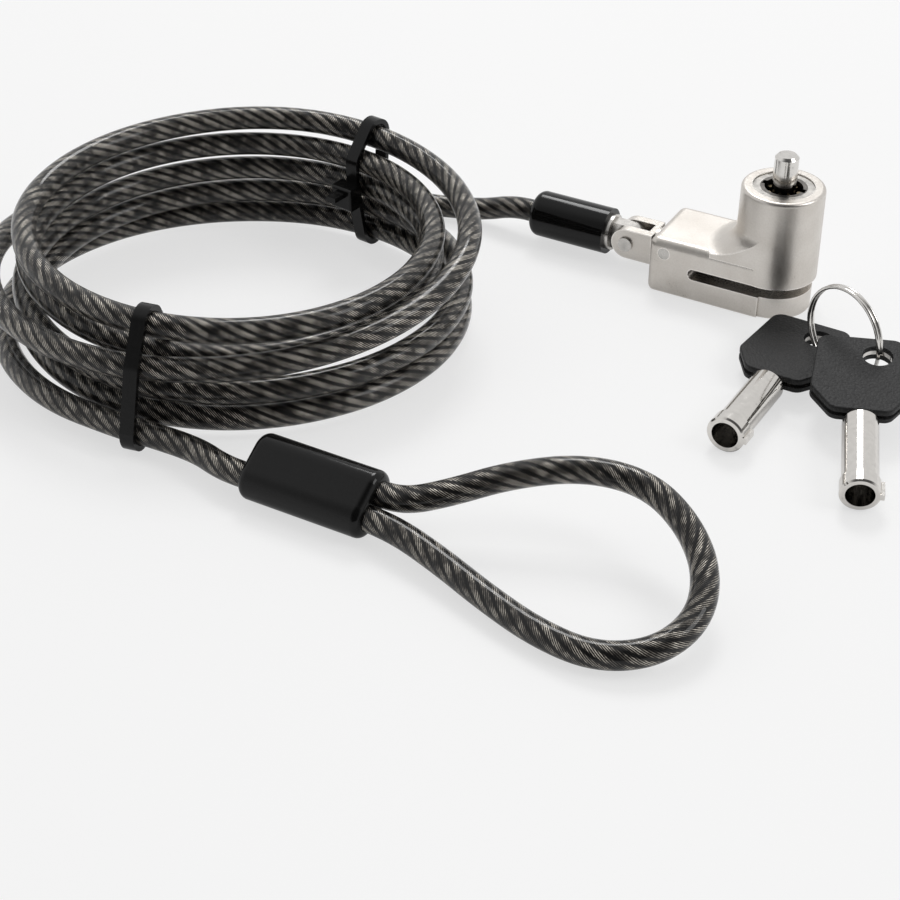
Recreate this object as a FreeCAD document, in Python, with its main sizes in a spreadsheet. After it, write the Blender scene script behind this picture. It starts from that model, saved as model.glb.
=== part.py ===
"""Laptop cable lock: a slotted lock head on a riveted swivel, a coiled steel cable with an eye,
two ties, and two tubular keys on a split ring.

The frame: the origin is on the barrel's axis at the flat base of the lock head, +X runs along
the arm from the swivel to the barrel, +Y is the far side and +Z is up. The floor is z = 0.
"""
import FreeCAD
import Part
import math
import os

from FreeCAD import Placement, Rotation, Vector

os.makedirs("parts", exist_ok=True)
doc = FreeCAD.newDocument("cable_lock")

# Driving dimensions, in millimetres and degrees
SIZES = [
    # lock head
    ("arm_reach", 23.0), ("head_width", 15.8), ("arm_height", 11.0), ("arm_corner", 1.6),
    ("barrel_height", 24.5), ("barrel_top_radius", 7.85), ("barrel_base_radius", 8.1),
    ("rim_round", 0.7), ("sweep_radius", 5.0),
    ("slot_bottom", 4.3), ("slot_gap", 2.2), ("slot_end_reach", 13.4), ("jaw_radius", 7.4),
    # lock core
    ("core_bore_radius", 5.75), ("core_floor", 8.6), ("core_clearance", 0.05),
    ("sleeve_wall", 1.3), ("rotor_height", 7.8), ("face_step", 0.25),
    ("keyway_radius", 3.6), ("keyway_depth", 4.0), ("notch_width", 1.3), ("notch_depth", 0.6),
    ("tumbler_count", 7), ("tumbler_radius", 0.5), ("tumbler_ring_radius", 2.93),
    ("tumbler_clearance", 0.05), ("tumbler_sink", 0.9),
    # push post, bolt and return spring
    ("post_radius", 2.25), ("post_stand", 6.5), ("post_nose", 0.5), ("post_flange_radius", 4.0),
    ("post_flange_height", 0.8), ("bolt_radius", 2.9), ("bolt_clearance", 0.08),
    ("bolt_rest_gap", 0.3), ("bolt_hole_floor", 1.1),
    ("spring_wire", 0.45), ("spring_turns", 3.5), ("retainer_radius", 0.8), ("retainer_z", 12.0),
    # swivel
    ("swivel_z", 5.5), ("stem_radius", 2.6), ("stem_clearance", 0.08), ("stem_depth", 9.0),
    ("cross_pin_radius", 1.15), ("cross_pin_x", 3.3), ("groove_gap", 0.12),
    ("clevis_radius", 3.3), ("ear_thickness", 1.9), ("ear_height", 6.2), ("rivet_x", 6.6),
    ("rivet_radius", 1.1), ("rivet_head_radius", 1.45), ("rivet_head_height", 0.5),
    ("clevis_shoulder", 1.2), ("ear_root", 2.4), ("tongue_clearance", 0.08),
    # cable, ferrule and sleeve at the head
    ("cable_radius", 2.25), ("fitting_radius", 3.6), ("fitting_length", 13.0), ("fitting_lip", 1.0),
    ("head_sleeve_radius", 4.6), ("head_sleeve_length", 16.5), ("head_sleeve_end", 11.6),
    ("head_sleeve_round", 1.6), ("cable_grip", 9.0), ("mouth_straight", 5.0), ("coil_straight", 9.0),
    ("coil_center_x", 84.2), ("coil_center_y", 57.1),
    # eye ferrule and sleeve
    ("strand_gap", 0.15), ("ferrule_wall", 0.8), ("ferrule_length", 17.0), ("eye_sleeve_wall", 0.6),
    ("eye_sleeve_length", 23.5), ("eye_sleeve_round", 1.5), ("eye_sleeve_x", 52.0),
    ("eye_sleeve_y", 99.8), ("eye_sleeve_z", 4.95), ("eye_roll", 30.0),
    # ties
    ("tie_width", 2.6), ("tie_thickness", 0.95), ("tie_clearance", 0.25), ("tie_head_depth", 3.4),
    ("tie_head_width", 4.8), ("tie_head_height", 4.6), ("tie_tail", 3.0),
    ("front_tie_angle", 251.0), ("rear_tie_angle", 53.0),
    # keys
    ("key_tube_radius", 3.1), ("key_tube_length", 17.0), ("key_bit_radius", 3.45),
    ("key_bit_length", 3.2), ("key_bore_radius", 2.45), ("key_bore_depth", 6.5),
    ("bow_length", 20.0), ("bow_end_width", 15.0), ("bow_wide", 17.4), ("bow_neck_width", 10.0),
    ("bow_cover", 1.0), ("blade_thickness", 0.8), ("bow_corner", 2.2), ("bow_round", 0.35),
    ("neck_length", 3.0), ("key_hole_radius", 2.7), ("key_hole_along", 5.0), ("key_hole_side", 2.8),
    ("key_lug_height", 0.5), ("key_lug_width", 1.2), ("hole_cutter", 10.0),
    ("blade_reach", 5.0), ("blade_width", 4.6),
    # key ring
    ("ring_radius", 8.6), ("ring_wire", 0.55), ("ring_center_x", 20.7), ("ring_center_y", -19.6),
    ("ring_turn", -26.4), ("ring_lift", 0.1),
    # lie of the keys
    ("key_a_turn", -91.5), ("key_b_turn", -70.0), ("key_b_tilt", 6.5), ("key_gap", 0.3),
]
sheet = doc.addObject("Spreadsheet::Sheet", "Sizes")
for row, (word, value) in enumerate(SIZES, start=1):
    sheet.set(f"A{row}", word)
    sheet.set(f"B{row}", str(value))
    sheet.setAlias(f"B{row}", word)
doc.recompute()


def size(word):
    """Return one driving dimension from the sheet."""
    return float(sheet.get(word))


def bind(item, **formulas):
    """Tie properties of a document object to the sheet; words of the sheet are written bare."""
    for name, formula in formulas.items():
        item.setExpression(name, tie_words(formula))
    return item


def tie_words(formula):
    """Turn bare size words of a formula into references to the sheet."""
    text, word = "", ""
    known = {entry[0] for entry in SIZES}
    for letter in formula + " ":
        if letter.isalnum() or letter == "_":
            word += letter
            continue
        text += f"Sizes.{word}" if word in known else word
        text += letter
        word = ""
    return text.strip()


def locate(item, x="0", y="0", z="0"):
    """Tie the place of a document object to the sheet."""
    for axis, formula in zip("xyz", (x, y, z)):
        item.setExpression(f"Placement.Base.{axis}", tie_words(formula))
    return item


def block(name, length, width, height, x="0", y="0", z="0"):
    """Add a box with its lowest corner at x, y, z."""
    item = doc.addObject("Part::Box", name)
    bind(item, Length=length, Width=width, Height=height)
    return locate(item, x, y, z)


def rod(name, radius, height, x="0", y="0", z="0", axis=None):
    """Add a cylinder that starts at x, y, z and runs along axis, up if none is given."""
    item = doc.addObject("Part::Cylinder", name)
    if axis is not None:
        item.Placement = Placement(Vector(), Rotation(Vector(0, 0, 1), Vector(*axis)))
    bind(item, Radius=radius, Height=height)
    return locate(item, x, y, z)


def cone(name, low_radius, high_radius, height, z="0"):
    """Add an upright cone frustum on the Z axis."""
    item = doc.addObject("Part::Cone", name)
    bind(item, Radius1=low_radius, Radius2=high_radius, Height=height)
    return locate(item, "0", "0", z)


def fuse(name, *items):
    """Join several objects into one solid."""
    item = doc.addObject("Part::MultiFuse", name)
    item.Shapes = list(items)
    item.Refine = True
    return item


def cut(name, base, tool):
    """Take one object from another."""
    item = doc.addObject("Part::Cut", name)
    item.Base = base
    item.Tool = tool
    return item


def common(name, base, tool):
    """Keep what two objects share."""
    item = doc.addObject("Part::Common", name)
    item.Base = base
    item.Tool = tool
    return item


def round_edges(name, base, radius_word, pick):
    """Fillet the edges of base that pick accepts, with one named radius."""
    doc.recompute()
    chosen = [n for n, edge in enumerate(base.Shape.Edges, start=1) if pick(edge)]
    item = doc.addObject("Part::Fillet", name)
    item.Base = base
    item.Edges = [(n, size(radius_word), size(radius_word)) for n in chosen]
    return item


def revolved(name, outline):
    """Add a body turned about Z; outline is a list of radius and height formulas."""
    body = doc.addObject("PartDesign::Body", name)
    doc.recompute()
    plane = next(f for f in body.Origin.OriginFeatures if f.Role == "XZ_Plane")
    sketch = body.newObject("Sketcher::SketchObject", f"{name}_outline")
    sketch.AttachmentSupport = (plane, "")
    sketch.MapMode = "FlatFace"
    draw_outline(sketch, outline)
    turn = body.newObject("PartDesign::Revolution", f"{name}_turn")
    turn.Profile = sketch
    turn.ReferenceAxis = (sketch, ["V_Axis"])
    turn.Angle = 360
    doc.recompute()
    return body


def draw_outline(sketch, outline):
    """Draw a closed outline of straight lines whose corners are tied to the sheet."""
    import Sketcher
    doc.recompute()
    probe = doc.addObject("App::FeaturePython", f"{sketch.Name}_corners")
    values = []
    for n, (across, up) in enumerate(outline):
        for tag, formula in (("a", across), ("u", up)):
            probe.addProperty("App::PropertyFloat", f"{tag}{n}")
            probe.setExpression(f"{tag}{n}", tie_words(formula))
    doc.recompute()
    for n in range(len(outline)):
        values.append(Vector(getattr(probe, f"a{n}"), getattr(probe, f"u{n}"), 0))
    count = len(outline)
    for n in range(count):
        sketch.addGeometry(Part.LineSegment(values[n], values[(n + 1) % count]), False)
    for n in range(count):
        sketch.addConstraint(Sketcher.Constraint("Coincident", n, 2, (n + 1) % count, 1))
    for n in range(count):
        for tag, kind, value in (("a", "DistanceX", values[n].x), ("u", "DistanceY", values[n].y)):
            if abs(value) < 1e-9:
                axis = -2 if kind == "DistanceX" else -1
                sketch.addConstraint(Sketcher.Constraint("PointOnObject", n, 1, axis))
                continue
            index = sketch.addConstraint(Sketcher.Constraint(kind, -1, 1, n, 1, value))
            sketch.setExpression(f"Constraints[{index}]", f"{probe.Name}.{tag}{n}")


finished = []


def finish(item, label):
    """Name a finished sub-part; the name is also its file's."""
    item.Label = label
    finished.append(item)
    return item


def solid_feature(label, shape, placement=None):
    """Add a sub-part whose form is computed here, where no stock feature fits."""
    item = doc.addObject("Part::Feature", f"{label}_form")
    item.Shape = shape
    if placement is not None:
        item.Placement = placement
    return finish(item, label)


# Lock head: arm, swept shoulder, barrel and slotted jaw

def lock_housing():
    """Model the die-cast housing with its slot, core bore, bolt hole and swivel bore."""
    arm_end = block("arm_block", "arm_reach", "head_width", "arm_height", "-arm_reach", "-head_width/2")
    arm = round_edges("arm_rounded", arm_end, "arm_corner", lambda e: edge_at_left_or_top(e))
    base = rod("jaw_round", "jaw_radius", "arm_height")
    barrel = cone("barrel_draft", "barrel_base_radius", "barrel_top_radius", "barrel_height")
    low = block("barrel_keep", "4*head_width", "4*head_width", "barrel_height",
                "-2*head_width", "-2*head_width", "slot_bottom+slot_gap/2")
    upper = common("barrel_above_slot", barrel, low)
    rim = round_edges("barrel_rim", upper, "rim_round", lambda e: e.BoundBox.ZMin > size("barrel_height") - 0.01)
    shoulder = swept_shoulder()
    body = fuse("housing_body", arm, base, rim, shoulder)
    slot = block("jaw_slot", "slot_end_reach+2*head_width", "2*head_width", "slot_gap",
                 "-slot_end_reach", "-head_width", "slot_bottom")
    slot_end = rod("slot_end", "slot_gap/2", "2*head_width", "-slot_end_reach", "head_width",
                   "slot_bottom+slot_gap/2", axis=(0, -1, 0))
    core_bore = rod("core_bore", "core_bore_radius", "barrel_height", z="core_floor")
    bolt_hole = rod("bolt_hole", "bolt_radius+bolt_clearance", "barrel_height", z="bolt_hole_floor")
    swivel_bore = rod("swivel_bore", "stem_radius+stem_clearance", "stem_depth+0.6", "-arm_reach-0.1", "0",
                      "swivel_z", axis=(1, 0, 0))
    pin_hole = rod("cross_pin_hole", "cross_pin_radius", "2*head_width", "-arm_reach+cross_pin_x",
                   "head_width", pin_height(), axis=(0, -1, 0))
    retainer = rod("retainer_hole", "retainer_radius", "head_width", "0", "core_bore_radius-1",
                   "retainer_z", axis=(0, 1, 0))
    tools = fuse("housing_tools", slot, slot_end, core_bore, bolt_hole, swivel_bore, pin_hole, retainer)
    return finish(cut("housing", body, tools), "lock_housing")


def edge_at_left_or_top(edge):
    """Accept the arm's edges at its cable end and along its top."""
    box = edge.BoundBox
    at_end = box.XMax < -size("arm_reach") + 0.01
    on_top = box.ZMin > size("arm_height") - 0.01 and box.YLength < 0.01
    return at_end or on_top


def pin_height():
    """Give the height formula of the cross pin, which passes through the stem's groove."""
    return "swivel_z+stem_radius+cross_pin_radius-0.95"


def swept_shoulder():
    """Model the concave sweep from the arm's top up into the barrel, flat at its sides."""
    radius, sweep, top = size("barrel_base_radius"), size("sweep_radius"), size("arm_height")
    start = Vector(radius + sweep, 0, top)
    end = Vector(radius - 0.15, 0, top + sweep)
    reach = sweep * (1 - math.cos(math.radians(45)))
    middle = Vector(radius + reach, 0, top + reach)
    outline = [
        Part.LineSegment(Vector(0, 0, top - 1), Vector(radius + sweep, 0, top - 1)).toShape(),
        Part.LineSegment(Vector(radius + sweep, 0, top - 1), start).toShape(),
        Part.Arc(start, middle, end).toShape(),
        Part.LineSegment(end, Vector(0, 0, top + sweep)).toShape(),
        Part.LineSegment(Vector(0, 0, top + sweep), Vector(0, 0, top - 1)).toShape(),
    ]
    face = Part.Face(Part.Wire(outline))
    skirt = face.revolve(Vector(0, 0, 0), Vector(0, 0, 1), 360)
    half = size("head_width") / 2
    keep = Part.makeBox(radius + sweep + 1, 2 * half, sweep + 2,
                        Vector(-radius - sweep - 1, -half, top - 1))
    item = doc.addObject("Part::Feature", "shoulder_sweep")
    item.Shape = skirt.common(keep)
    return item


def core_pieces():
    """Model the core sleeve, the rotor, the tumblers and the retaining pin."""
    sleeve = revolved("sleeve_body", [
        ("core_bore_radius-core_clearance-sleeve_wall", "core_floor"),
        ("core_bore_radius-core_clearance", "core_floor"),
        ("core_bore_radius-core_clearance", "barrel_height-face_step"),
        ("core_bore_radius-core_clearance-sleeve_wall", "barrel_height-face_step")])
    pin_seat = rod("retainer_seat", "retainer_radius", "head_width", "0",
                   "core_bore_radius-core_clearance-sleeve_wall/2", "retainer_z", axis=(0, 1, 0))
    finish(cut("sleeve_cut", sleeve, pin_seat), "core_sleeve")
    pin = rod("retainer_pin", "retainer_radius",
              "barrel_top_radius-core_bore_radius+core_clearance+sleeve_wall/2-0.1", "0",
              "core_bore_radius-core_clearance-sleeve_wall/2", "retainer_z", axis=(0, 1, 0))
    finish(pin, "core_retaining_pin")
    top = "barrel_height-face_step"
    outer = "core_bore_radius-2*core_clearance-sleeve_wall"
    rotor = revolved("rotor_body", [
        ("post_radius+core_clearance", f"{top}-rotor_height"), (outer, f"{top}-rotor_height"),
        (outer, top), ("keyway_radius", top), ("keyway_radius", f"{top}-keyway_depth"),
        ("post_radius+core_clearance", f"{top}-keyway_depth")])
    notch = block("keyway_notch", "2*(keyway_radius+notch_depth)", "notch_width", "keyway_depth",
                  "-(keyway_radius+notch_depth)", "-notch_width/2", f"{top}-keyway_depth*0.7")
    wells = []
    for n in range(int(size("tumbler_count"))):
        angle = f"{n}*360/tumbler_count+12"
        wells.append(rod(f"tumbler_well_{n}", "tumbler_radius+tumbler_clearance", "rotor_height",
                         f"tumbler_ring_radius*cos({angle})", f"tumbler_ring_radius*sin({angle})",
                         f"{top}-rotor_height+0.6"))
    tools = fuse("rotor_tools", notch, *wells)
    finish(cut("rotor_cut", rotor, tools), "rotor")
    pins = []
    for n in range(int(size("tumbler_count"))):
        angle = f"{n}*360/tumbler_count+12"
        pins.append(rod(f"tumbler_{n}", "tumbler_radius", "keyway_depth-tumbler_sink+1.2",
                        f"tumbler_ring_radius*cos({angle})", f"tumbler_ring_radius*sin({angle})",
                        f"{top}-keyway_depth-1.2"))
    group = doc.addObject("Part::Compound", "tumbler_group")
    group.Links = pins
    finish(group, "tumbler_pins")
    springs = []
    wire, low = 0.13, size("barrel_height") - size("face_step") - size("rotor_height") + 0.6
    room = size("rotor_height") - size("keyway_depth") - 0.6 - 1.2
    for n in range(int(size("tumbler_count"))):
        angle = math.radians(n * 360 / size("tumbler_count") + 12)
        spot = Vector(size("tumbler_ring_radius") * math.cos(angle),
                      size("tumbler_ring_radius") * math.sin(angle), low + wire)
        springs.append(coil_spring(size("tumbler_radius") - wire, wire, room - 2 * wire, 3, spot))
    return solid_feature("tumbler_springs", Part.makeCompound(springs))


def coil_spring(radius, wire, height, turns, base):
    """Wind a round wire spring on a helix and set it at base."""
    helix = Part.makeHelix(height / turns, height, radius)
    profile = Part.Wire(Part.makeCircle(wire, Vector(radius, 0, 0), Vector(0, 1, 0)))
    solid = Part.Wire(helix).makePipeShell([profile], True, True)
    solid.translate(base)
    return solid


def plunger_pieces():
    """Model the push post, the bolt that it drives and the spring that returns them."""
    top = "barrel_height-face_step"
    flange_top = f"{top}-rotor_height-0.3"
    post = revolved("post_body", [
        ("0", f"{flange_top}-post_flange_height"), ("post_flange_radius", f"{flange_top}-post_flange_height"),
        ("post_flange_radius", flange_top), ("post_radius", flange_top),
        ("post_radius", f"{top}+post_stand-post_nose"), ("post_radius-post_nose", f"{top}+post_stand"),
        ("0", f"{top}+post_stand")])
    finish(post, "push_post")
    bolt = revolved("bolt_body", [
        ("0", "slot_bottom+slot_gap+bolt_rest_gap"), ("bolt_radius-0.5", "slot_bottom+slot_gap+bolt_rest_gap"),
        ("bolt_radius", "slot_bottom+slot_gap+bolt_rest_gap+0.5"),
        ("bolt_radius", f"{flange_top}-post_flange_height"), ("0", f"{flange_top}-post_flange_height")])
    finish(bolt, "lock_bolt")
    wire = size("spring_wire") / 2
    low = size("core_floor")
    high = (size("barrel_height") - size("face_step") - size("rotor_height") - 0.3
            - size("post_flange_height"))
    mean = size("bolt_radius") + 0.25 + wire
    spring = coil_spring(mean, wire, high - low - 2 * wire - 0.1, size("spring_turns"),
                         Vector(0, 0, low + wire + 0.05))
    return solid_feature("plunger_spring", spring)


# Swivel: the stem turns in the arm, its ears carry the cable's fitting on a rivet

def swivel_pieces():
    """Model the clevis stem with its groove, the cross pin and the rivet."""
    stem = rod("stem_rod", "stem_radius", "stem_depth", "-arm_reach-0.15", "0", "swivel_z", axis=(1, 0, 0))
    shoulder = rod("clevis_round", "clevis_radius", "clevis_shoulder", "-arm_reach-clevis_shoulder-0.15",
                   "0", "swivel_z", axis=(1, 0, 0))
    body = block("clevis_block", "rivet_x-clevis_shoulder", "2*clevis_radius", "ear_height",
                 "-arm_reach-rivet_x-0.15", "-clevis_radius", "swivel_z-ear_height/2")
    ear_end = rod("clevis_end", "ear_height/2", "2*clevis_radius", "-arm_reach-rivet_x-0.15",
                  "clevis_radius", "swivel_z", axis=(0, -1, 0))
    slot = block("clevis_slot", "rivet_x+ear_height-ear_root", "2*(clevis_radius-ear_thickness)",
                 "2*ear_height", "-arm_reach-rivet_x-0.15-ear_height", "-(clevis_radius-ear_thickness)",
                 "swivel_z-ear_height")
    groove_ring = revolved("groove_ring", [
        ("stem_radius-0.95-groove_gap", "0"), ("stem_radius+1", "0"),
        ("stem_radius+1", "2*(cross_pin_radius+groove_gap)"),
        ("stem_radius-0.95-groove_gap", "2*(cross_pin_radius+groove_gap)")])
    groove_ring.Placement = Placement(Vector(), Rotation(Vector(0, 0, 1), Vector(1, 0, 0)))
    locate(groove_ring, "-arm_reach+cross_pin_x-cross_pin_radius-groove_gap", "0", "swivel_z")
    rivet_hole = rod("rivet_hole", "rivet_radius", "4*clevis_radius", "-arm_reach-rivet_x-0.15",
                     "2*clevis_radius", "swivel_z", axis=(0, -1, 0))
    solid = fuse("stem_body", stem, shoulder, body, ear_end)
    tools = fuse("stem_tools", slot, groove_ring, rivet_hole)
    finish(cut("stem_cut", solid, tools), "swivel_stem")
    cross = rod("cross_pin", "cross_pin_radius", "head_width-0.1", "-arm_reach+cross_pin_x",
                "head_width/2-0.05", pin_height(), axis=(0, -1, 0))
    finish(cross, "swivel_cross_pin")
    shank = rod("rivet_shank", "rivet_radius", "2*clevis_radius", "-arm_reach-rivet_x-0.15",
                "clevis_radius", "swivel_z", axis=(0, -1, 0))
    front_head = rod("rivet_front_head", "rivet_head_radius", "rivet_head_height",
                     "-arm_reach-rivet_x-0.15", "-clevis_radius", "swivel_z", axis=(0, -1, 0))
    back_head = rod("rivet_back_head", "rivet_head_radius", "rivet_head_height",
                    "-arm_reach-rivet_x-0.15", "clevis_radius", "swivel_z", axis=(0, 1, 0))
    return finish(fuse("rivet_body", shank, front_head, back_head), "clevis_rivet")


def head_end_pieces():
    """Model the crimped end fitting with its tongue, and the black sleeve over it."""
    tongue_half = "(clevis_radius-ear_thickness-tongue_clearance)"
    start = "-arm_reach-head_sleeve_end"
    barrel = rod("fitting_barrel", "fitting_radius", "fitting_length+fitting_lip",
                 f"{start}+fitting_lip", "0", "swivel_z", axis=(-1, 0, 0))
    tongue = block("fitting_tongue", "head_sleeve_end-fitting_lip-rivet_x-0.15", f"2*{tongue_half}",
                   "ear_height-0.6", f"{start}+fitting_lip", f"-{tongue_half}",
                   "swivel_z-ear_height/2+0.3")
    tongue_end = rod("tongue_end", "ear_height/2-0.3", f"2*{tongue_half}", "-arm_reach-rivet_x-0.15",
                     tongue_half, "swivel_z", axis=(0, -1, 0))
    hole = rod("tongue_hole", "rivet_radius+0.04", "4*clevis_radius", "-arm_reach-rivet_x-0.15",
               "2*clevis_radius", "swivel_z", axis=(0, -1, 0))
    socket = rod("cable_socket", "cable_radius", "cable_grip", f"{start}-fitting_length", "0",
                 "swivel_z", axis=(1, 0, 0))
    solid = fuse("fitting_body", barrel, tongue, tongue_end)
    tools = fuse("fitting_tools", hole, socket)
    finish(cut("fitting_cut", solid, tools), "cable_end_fitting")
    tube = rod("sleeve_tube", "head_sleeve_radius", "head_sleeve_length", start, "0", "swivel_z",
               axis=(-1, 0, 0))
    soft = round_edges("sleeve_soft", tube, "head_sleeve_round",
                       lambda e: e.BoundBox.XMax < -size("arm_reach") - size("head_sleeve_end") - 5)
    bore = rod("sleeve_bore", "fitting_radius", "fitting_length", start, "0", "swivel_z", axis=(-1, 0, 0))
    exit_bore = rod("sleeve_exit", "cable_radius", "head_sleeve_length", start, "0", "swivel_z",
                    axis=(-1, 0, 0))
    bores = fuse("sleeve_bores", bore, exit_bore)
    return finish(cut("head_sleeve_cut", soft, bores), "head_sleeve")


# Cable: routes, coil and tubes

COIL_CENTER = Vector(-size("coil_center_x"), -size("coil_center_y"), 0)
IMAGE_TURN = 29.5
LEVEL = 4.95
COIL_REST = 1.35
QUARTER = 90.0

# Stations of the coil, a quarter turn apart, from the eye's end to the head's end:
# radius from the coil's centre, level in strands, and how fast the radius grows there
COIL_START = (247.0, 43.6, 0.0, 0.0)
COIL_STATIONS = [
    (180.0, 44.2, 0.0, 0.0), (90.0, 37.4, 0.0, 0.0), (0.0, 41.6, 0.0, 0.0),
    (-90.0, 37.6, 0.0, 0.0), (-180.0, 39.4, 0.68, 0.0), (-270.0, 36.8, 1.03, 0.0),
    (-360.0, 41.8, 1.03, 0.0), (-450.0, 37.4, 1.03, 0.0), (-540.0, 39.4, 1.70, 0.0),
    (-630.0, 36.6, 2.08, 0.0), (-720.0, 36.2, 2.06, -3.0), (-810.0, 31.6, 1.7, 0.0),
    (-900.0, 38.4, 2.85, 0.0), (-990.0, 36.9, 3.12, 0.0), (-1080.0, 36.4, 3.12, 0.0),
    (-1170.0, 35.8, 3.3, 0.0), (-1260.0, 38.2, 3.92, 0.0), (-1350.0, 37.6, 4.18, 5.0),
    (-1440.0, 43.4, 3.2, 0.0), (-1530.0, 38.6, 2.12, 5.0), (-1620.0, 46.0, 2.2, 0.0),
]
COIL_EXIT = (-1708.0, 42.8, 0.5, 0.0)


def coil_place(turn, radius, level):
    """Give the point of the cable's axis at one turn angle of the coil."""
    angle = math.radians(turn + IMAGE_TURN)
    height = size("cable_radius") + COIL_REST + LEVEL * level
    return COIL_CENTER + Vector(radius * math.cos(angle), radius * math.sin(angle), height)


def coil_nodes():
    """Give the coil's points and directions: the levels' slopes follow their neighbours."""
    rows = [COIL_START] + COIL_STATIONS + [COIL_EXIT]
    nodes = []
    for n, (turn, radius, level, growth) in enumerate(rows):
        before, after = rows[max(n - 1, 0)], rows[min(n + 1, len(rows) - 1)]
        climb = 0.0
        if 0 < n < len(rows) - 1:
            rise_in = (level - before[2]) / abs(turn - before[0])
            rise_out = (after[2] - level) / abs(after[0] - turn)
            climb = 0.5 * (rise_in + rise_out) if rise_in * rise_out > 0 else 0.0
        angle = math.radians(turn + IMAGE_TURN)
        along = Vector(math.sin(angle), -math.cos(angle), 0)
        out = Vector(math.cos(angle), math.sin(angle), 0)
        arc = radius * math.pi / 180
        slope = growth / QUARTER / arc
        direction = along + out * slope + Vector(0, 0, climb * LEVEL / arc)
        direction.normalize()
        nodes.append((coil_place(turn, radius, level), direction))
    return nodes


def arc_between(start, corner, end):
    """Make the arc that leaves start towards corner and arrives at end from it."""
    chord = (start + end) * 0.5
    rise = corner - chord
    if rise.Length < 1e-6:
        return Part.LineSegment(start, end).toShape()
    half = (end - start).Length / 2
    leg = (corner - start).Length
    radius = half * leg / rise.Length
    height = radius * (1 - half / leg)
    middle = chord + rise * (height / rise.Length)
    return Part.Arc(start, middle, end).toShape()


def biarc(start, leave, end, arrive):
    """Join two points with two arcs that keep the given directions."""
    span = end - start
    turn = leave + arrive
    spread = 2 - 2 * leave.dot(arrive)
    run = span.dot(turn)
    if spread < 1e-9:
        reach = span.dot(span) / (2 * run)
    else:
        reach = (-run + math.sqrt(run * run + spread * span.dot(span))) / spread
    first = start + leave * reach
    last = end - arrive * reach
    joint = (first + last) * 0.5
    return [arc_between(start, first, joint), arc_between(joint, last, end)]


def coil_path():
    """Make the coil's path of biarcs, with a straight end of one diameter each side."""
    nodes = coil_nodes()
    straight = 2 * size("cable_radius")
    first, leave = nodes[0]
    last, arrive = nodes[-1]
    edges = [Part.LineSegment(first - leave * straight, first).toShape()]
    for (start, going), (end, coming) in zip(nodes, nodes[1:]):
        edges += biarc(start, going, end, coming)
    edges.append(Part.LineSegment(last, last + arrive * straight).toShape())
    return edges


def tube(edges, radius):
    """Sweep a round section along a smooth path of lines and arcs."""
    path = Part.Wire(edges)
    first = edges[0]
    start = first.valueAt(first.FirstParameter)
    heading = first.tangentAt(first.FirstParameter)
    profile = Part.Wire(Part.makeCircle(radius, start, heading))
    shell = Part.BRepOffsetAPI.MakePipeShell(path)
    shell.add(profile)
    shell.build()
    shell.makeSolid()
    solid = Part.Solid(shell.shape()) if shell.shape().ShapeType != "Solid" else shell.shape()
    if solid.Volume < 0:
        solid.reverse()
    return solid


def route_path(points):
    """Make straight runs through points with tangent arcs as large as the runs allow."""
    legs = [(b - a).Length for a, b in zip(points, points[1:])]
    edges, here, radii = [], points[0], []
    for n in range(1, len(points) - 1):
        arriving = (points[n] - points[n - 1]).normalize()
        leaving = (points[n + 1] - points[n]).normalize()
        turn = arriving.getAngle(leaving)
        setback = 0.45 * min(legs[n - 1], legs[n])
        radii.append(setback / math.tan(turn / 2))
        enter = points[n] - arriving * setback
        leave = points[n] + leaving * setback
        edges.append(Part.LineSegment(here, enter).toShape())
        edges.append(arc_between(enter, points[n], leave))
        here = leave
    edges.append(Part.LineSegment(here, points[-1]).toShape())
    return edges, radii


def sample(edges, step):
    """Give points along a path, about one step apart."""
    points = []
    for edge in edges:
        count = max(2, int(edge.Length / step) + 1)
        points += edge.discretize(Number=count)[:-1]
    points.append(edges[-1].valueAt(edges[-1].LastParameter))
    return points


def least_gap(edges, diameter):
    """Measure on points how near the tube comes to itself, away from its own neighbours."""
    points = sample(edges, 1.5)
    skip = int(8 * diameter / 1.5)
    near = 1e9
    for n, a in enumerate(points):
        for b in points[n + skip:]:
            near = min(near, (a - b).Length)
    return near - diameter


def check_tube(name, solid, edges, radii):
    """Print a tube's length, its radii, and its volume against section times length."""
    length = sum(edge.Length for edge in edges)
    section = math.pi * size("cable_radius") ** 2
    ratio = solid.Volume / (section * length)
    shown = " ".join(f"{value:.1f}" for value in radii)
    print(f"{name}: length {length:.1f} volume ratio {ratio:.4f} radii {shown}")


coil_edges = coil_path()
coil_gap = least_gap(coil_edges, 2 * size("cable_radius"))
print(f"coil: least gap to itself {coil_gap:.2f}")

HEAD_ROUTE = [
    (-81.2, -7.2, 3.9), (-72.0, -2.9, 2.6), (-63.2, -0.5, 3.0),
]
EYE_LEAD_ROUTE = [
    (-63.6, -99.6, 3.6),
]
EYE_ROUTE = [
    (-18.0, -94.8, 8.2), (-9.8, -88.8, 11.0), (0.2, -83.4, 12.6), (10.4, -81.8, 12.2),
    (18.8, -85.2, 10.0), (25.2, -91.6, 7.4), (27.6, -100.0, 5.0), (24.4, -108.0, 3.3),
    (16.6, -112.4, 2.45), (6.8, -111.6, 2.3), (-3.6, -108.4, 2.5), (-14.0, -104.6, 3.1),
]


def straight_on(point, heading, reach):
    """Give the point a reach further on along a heading."""
    return point + heading * reach


def eye_exits():
    """Give the centres of the two strands at the eye sleeve's right and left faces."""
    pitch = size("cable_radius") * 2 + size("strand_gap")
    roll = math.radians(size("eye_roll"))
    across = Vector(0, math.cos(roll), math.sin(roll)) * (pitch / 2)
    left = Vector(-size("eye_sleeve_x"), -size("eye_sleeve_y"), size("eye_sleeve_z"))
    right = left + Vector(size("eye_sleeve_length"), 0, 0)
    return left, right, across


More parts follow.
